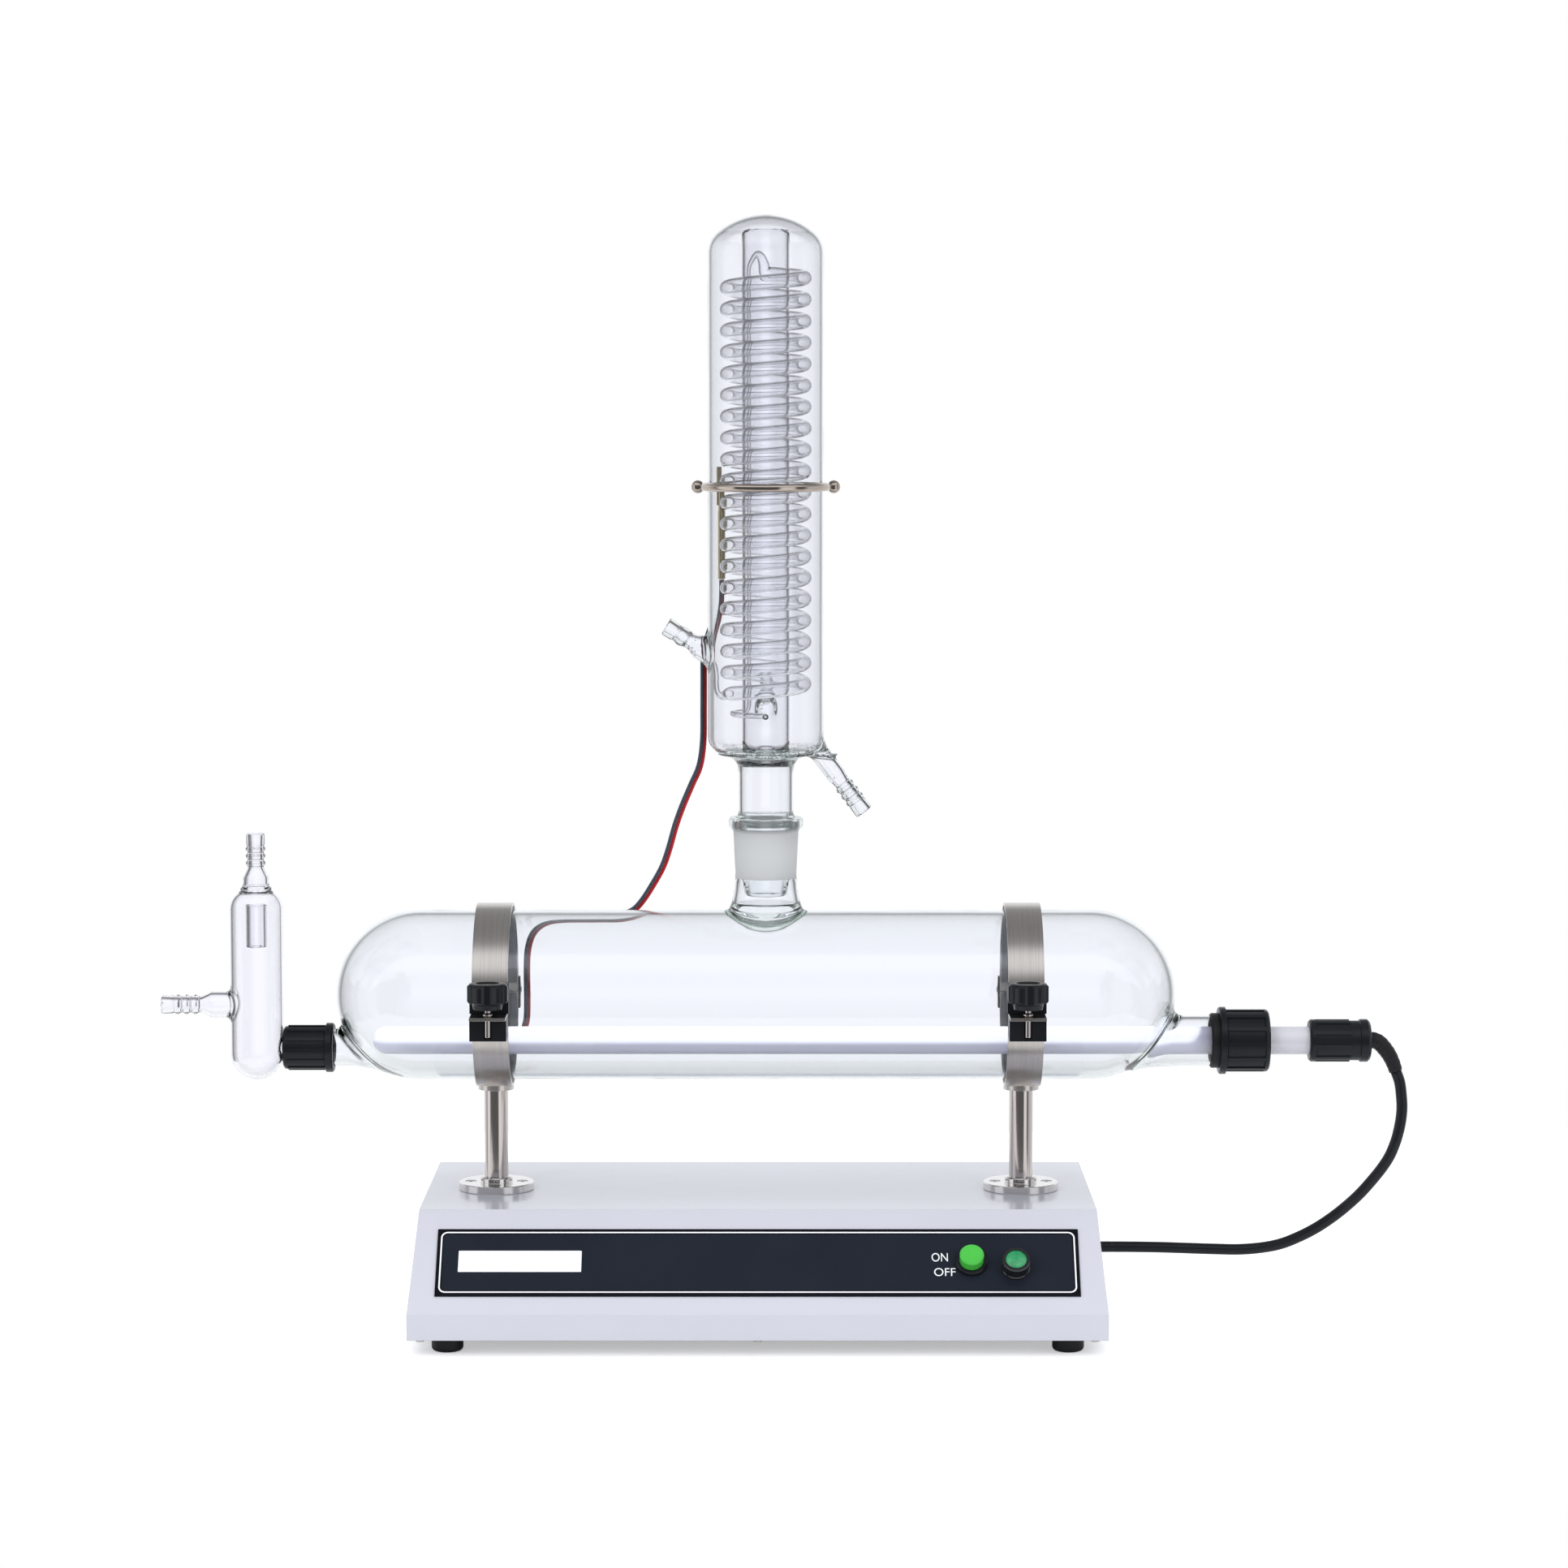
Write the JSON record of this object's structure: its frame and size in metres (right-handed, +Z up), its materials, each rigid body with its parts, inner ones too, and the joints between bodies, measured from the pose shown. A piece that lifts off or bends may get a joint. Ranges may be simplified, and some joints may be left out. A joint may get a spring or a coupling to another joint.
{
  "type": "glass water distiller",
  "caption": "Electric glass water still: horizontal boiler in clamps on two posts, upright coil condenser, level device, quartz heater and cable, sloping control base",
  "frame": {"origin": "On the table plane under the condenser's axis line in x, midway between the housing's front and the inlet flange at the back", "axes": "+X to the viewer's right along the boiler, +Y to the back, +Z up"},
  "size_m": [0.8462, 0.239, 0.7456],
  "materials": {
    "light_grey_paint": "smooth gloss powder coat",
    "plate_grey": "satin",
    "panel_black": "gloss",
    "black_plastic": "fine moulded grain",
    "knob_plastic": "moulded semi-gloss",
    "green_plastic": "moulded semi-gloss",
    "green_lens": "clear moulded",
    "bright_steel": "polished",
    "screw_steel": "turned",
    "band_steel": "brushed round the band",
    "plate_steel": "mill finish",
    "brass": "satin",
    "warm_chrome": "polished, warm",
    "sensor_brass": "aged satin",
    "cream_plastic": "satin",
    "relay_plastic": "satin",
    "black_rubber": "matt",
    "red_rubber": "matt",
    "silicone": "translucent silicone",
    "glass": "fire-polished, socket ground",
    "quartz": "milky quartz",
    "ceramic": "unglazed ceramic",
    "cable_black": "satin sheath",
    "wire_red": "satin sheath",
    "wire_dark": "satin sheath"
  },
  "bodies": {
    "stand": {"base_housing": "light_grey_paint", "bottom_plate": "plate_grey", "bottom_screws": "screw_steel", "feet": "black_rubber", "foot_screws": "screw_steel", "front_panel": "panel_black", "button_bezel": "black_plastic", "switch_body": "black_plastic", "lamp_bezel": "bright_steel", "lamp_lens": "green_lens", "panel_nuts": "screw_steel", "mains_inlet": "black_plastic", "inlet_pins": "brass", "inlet_screws": "screw_steel", "terminal_block": "cream_plastic", "power_relay": "relay_plastic", "cable_grommet": "black_rubber", "wire_grommet": "black_rubber", "post_left": "bright_steel", "post_right": "bright_steel", "post_flanges": "bright_steel", "flange_screws": "screw_steel", "backing_plates": "plate_steel", "lower_band_left": "band_steel", "lower_band_right": "band_steel", "lower_liners": "silicone", "lower_blocks": "black_plastic", "hinge_pins": "screw_steel", "boiler": "glass", "left_seal": "red_rubber", "leveller": "glass", "heater_tube": "quartz", "heater_core": "ceramic", "heater_washer": "black_rubber", "heater_seal": "red_rubber", "heater_end_cap": "black_plastic", "cable_boot": "black_rubber", "heater_cable": "cable_black", "condenser_jacket": "glass", "steam_tube": "glass", "condenser_coil": "glass", "clip_front": "warm_chrome", "clip_back": "warm_chrome", "thermostat": "sensor_brass", "wire_red": "wire_red", "wire_dark": "wire_dark"},
    "button": {"push_button": "green_plastic"},
    "clamp_left": {"upper_band_left": "band_steel", "upper_liner_left": "silicone", "upper_blocks_left": "black_plastic"},
    "clamp_right": {"upper_band_right": "band_steel", "upper_liner_right": "silicone", "upper_blocks_right": "black_plastic"},
    "knob_left": {"knob_left": "knob_plastic", "stud_left": "bright_steel"},
    "knob_right": {"knob_right": "knob_plastic", "stud_right": "bright_steel"},
    "cap": {"left_cap": "black_plastic"},
    "nut": {"heater_nut": "black_plastic"}
  },
  "joints": [
    {"name": "button_press", "type": "slide", "parent": "stand", "child": "button", "axis": [0, 0.7162, -0.6979], "range_m": [0, 0.004], "stiffness_N_per_m": 800},
    {"name": "clamp_left_open", "type": "hinge", "parent": "stand", "child": "clamp_left", "pos_m": [-0.1834, 0.0836, 0.2145], "axis": [-1, 0, 0], "range_deg": [0, 100]},
    {"name": "clamp_right_open", "type": "hinge", "parent": "stand", "child": "clamp_right", "pos_m": [0.1734, 0.0836, 0.2145], "axis": [-1, 0, 0], "range_deg": [0, 100]},
    {"name": "knob_left_turn", "type": "hinge", "parent": "clamp_left", "child": "knob_left", "pos_m": [-0.1834, -0.0681, 0.23], "axis": [0, 0, 1], "continuous": true},
    {"name": "knob_right_turn", "type": "hinge", "parent": "clamp_right", "child": "knob_right", "pos_m": [0.1734, -0.0681, 0.23], "axis": [0, 0, 1], "continuous": true},
    {"name": "cap_turn", "type": "hinge", "parent": "stand", "child": "cap", "pos_m": [-0.31, 0.014, 0.1841], "axis": [-1, 0, 0], "continuous": true},
    {"name": "nut_turn", "type": "hinge", "parent": "stand", "child": "nut", "pos_m": [0.32, 0.014, 0.1889], "axis": [1, 0, 0], "continuous": true}
  ]
}
